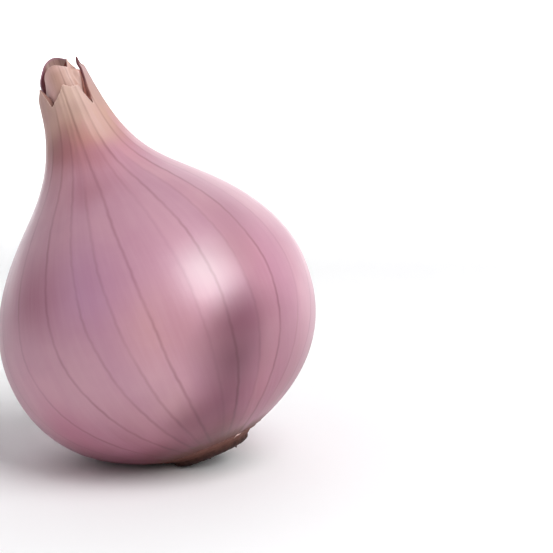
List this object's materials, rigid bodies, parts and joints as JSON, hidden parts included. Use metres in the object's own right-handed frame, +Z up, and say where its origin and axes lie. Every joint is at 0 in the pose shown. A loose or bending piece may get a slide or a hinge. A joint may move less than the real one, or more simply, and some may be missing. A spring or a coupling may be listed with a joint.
{
  "type": "shallot",
  "caption": "Whole round shallot in its dry pink-brown skin, resting on a small flat spot with its torn, dried neck leaning up.",
  "frame": {"origin": "centre of the flat spot that the shallot rests on, on the floor", "axes": "+Z up; the neck leans up towards -X and a little towards +Y; -Y is the front, where the strong middle vein runs"},
  "size_m": [0.0415, 0.0419, 0.0528],
  "materials": {
    "dry_outer_skin": "satin",
    "second_skin": "satin",
    "inner_skin": "satin",
    "corky_root": "matte"
  },
  "bodies": {
    "root": {"bulb": "dry_outer_skin", "second_skin": "second_skin", "inner_skin": "inner_skin", "root_plate": "corky_root"}
  },
  "joints": []
}
